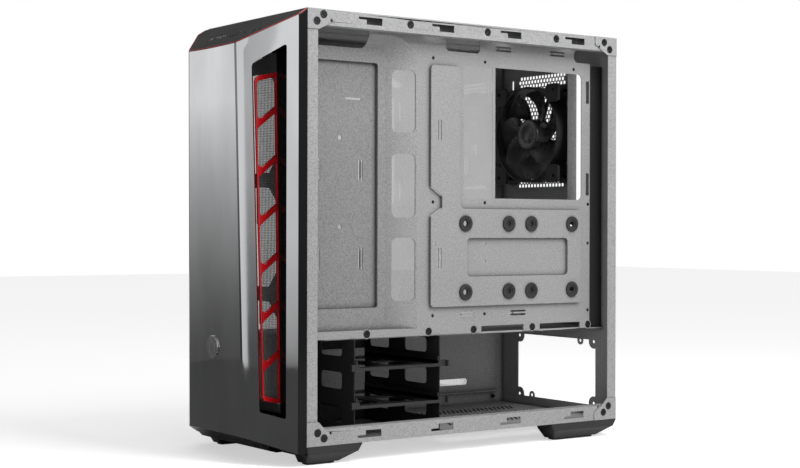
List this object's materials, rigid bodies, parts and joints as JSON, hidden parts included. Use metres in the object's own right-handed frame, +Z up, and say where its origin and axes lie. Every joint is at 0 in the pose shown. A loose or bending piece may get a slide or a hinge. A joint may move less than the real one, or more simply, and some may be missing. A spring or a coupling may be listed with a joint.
{
  "type": "desktop computer tower",
  "caption": "Mid-tower desktop computer case with a faceted mirror front, red-trimmed side intakes, open right side, motherboard tray, drive cage, rear fan and smoked window.",
  "frame": {"origin": "centre of the overall box on the surface that the feet stand on", "axes": "+Z up, front bezel faces -Y, open right side faces +X, windowed side faces -X"},
  "size_m": [0.217, 0.496, 0.468],
  "materials": {
    "steel": "satin fine-grained powder coat",
    "tray_steel": "satin fine-grained powder coat",
    "black_steel": "satin powder coat",
    "rubber": "matte",
    "standoff": "black zinc",
    "screw": "black zinc",
    "black_screw": "black zinc",
    "black_plastic": "satin",
    "fan_plastic": "semi-gloss, smoky",
    "mesh": "fine woven mesh",
    "smoked_window": "clear smoked gloss",
    "bezel_plastic": "gloss",
    "mirror_plastic": "smoked mirror gloss",
    "satin_plastic": "satin",
    "pinstripe": "gloss",
    "badge_metal": "brushed",
    "red_trim": "gloss",
    "circuit_board": "satin",
    "bright_metal": "bright",
    "blue_plastic": "satin",
    "light_pipe": "clear gloss",
    "button_plastic": "satin with a bright rim"
  },
  "bodies": {
    "chassis": {"base_plate": "steel", "top_plate": "steel", "front_plate": "steel", "rear_plate": "steel", "motherboard_tray": "tray_steel", "right_top_rail": "steel", "right_bottom_rail": "steel", "left_top_rail": "steel", "left_bottom_rail": "steel", "corner_plates": "steel", "tray_return": "black_steel", "psu_shroud": "steel", "drive_cage": "black_steel", "ssd_grommets": "rubber", "standoffs": "standoff", "slot_covers": "black_steel", "slot_cover_screws": "screw", "slot_shield": "steel", "shield_thumbscrews": "screw", "chassis_screws": "screw", "fan_frame": "black_plastic", "fan_screws": "screw", "front_feet": "black_plastic", "rear_feet": "black_plastic", "foot_pads": "rubber"},
    "fan_rotor": {"fan_rotor": "fan_plastic"},
    "drive_tray_upper": {"drive_tray_upper": "black_plastic"},
    "drive_tray_lower": {"drive_tray_lower": "black_plastic"},
    "bottom_filter": {"bottom_filter_frame": "black_plastic", "bottom_filter_mesh": "mesh"},
    "top_filter": {"top_filter_frame": "black_plastic", "top_filter_mesh": "mesh"},
    "window": {"window_panel": "smoked_window", "window_thumbscrews": "black_screw", "window_washers": "rubber"},
    "bezel": {"bezel_frame": "bezel_plastic", "mirror_panel": "mirror_plastic", "io_panel": "satin_plastic", "pinstripe": "pinstripe", "badge": "badge_metal", "trim_right": "red_trim", "trim_left": "red_trim", "intake_mesh_right": "mesh", "intake_mesh_left": "mesh", "io_board": "circuit_board", "usb_shells": "bright_metal", "usb_tongues": "blue_plastic", "audio_jacks": "black_plastic", "led_pipe": "light_pipe"},
    "power_button": {"power_button": "button_plastic"},
    "reset_button": {"reset_button": "button_plastic"}
  },
  "joints": [
    {"name": "fan_spin", "type": "hinge", "parent": "chassis", "child": "fan_rotor", "pos_m": [-0.02685, 0.221, 0.36], "axis": [0, 1, 0], "continuous": true},
    {"name": "upper_tray_slide", "type": "slide", "parent": "chassis", "child": "drive_tray_upper", "axis": [1, 0, 0], "range_m": [0, 0.12]},
    {"name": "lower_tray_slide", "type": "slide", "parent": "chassis", "child": "drive_tray_lower", "axis": [1, 0, 0], "range_m": [0, 0.12]},
    {"name": "bottom_filter_slide", "type": "slide", "parent": "chassis", "child": "bottom_filter", "axis": [0, 1, 0], "range_m": [0, 0.19]},
    {"name": "top_filter_lift", "type": "slide", "parent": "chassis", "child": "top_filter", "axis": [0, 0, 1], "range_m": [0, 0.06]},
    {"name": "window_pull", "type": "slide", "parent": "chassis", "child": "window", "axis": [-1, 0, 0], "range_m": [0, 0.1]},
    {"name": "bezel_pull", "type": "slide", "parent": "chassis", "child": "bezel", "axis": [0, -1, 0], "range_m": [0, 0.06]},
    {"name": "power_press", "type": "slide", "parent": "bezel", "child": "power_button", "axis": [0, 0.5358, -0.8443], "range_m": [0, 0.0012], "stiffness_N_per_m": 1200, "springref_m": -0.0006},
    {"name": "reset_press", "type": "slide", "parent": "bezel", "child": "reset_button", "axis": [0, 0.5358, -0.8443], "range_m": [0, 0.0012], "stiffness_N_per_m": 1200, "springref_m": -0.0006}
  ]
}
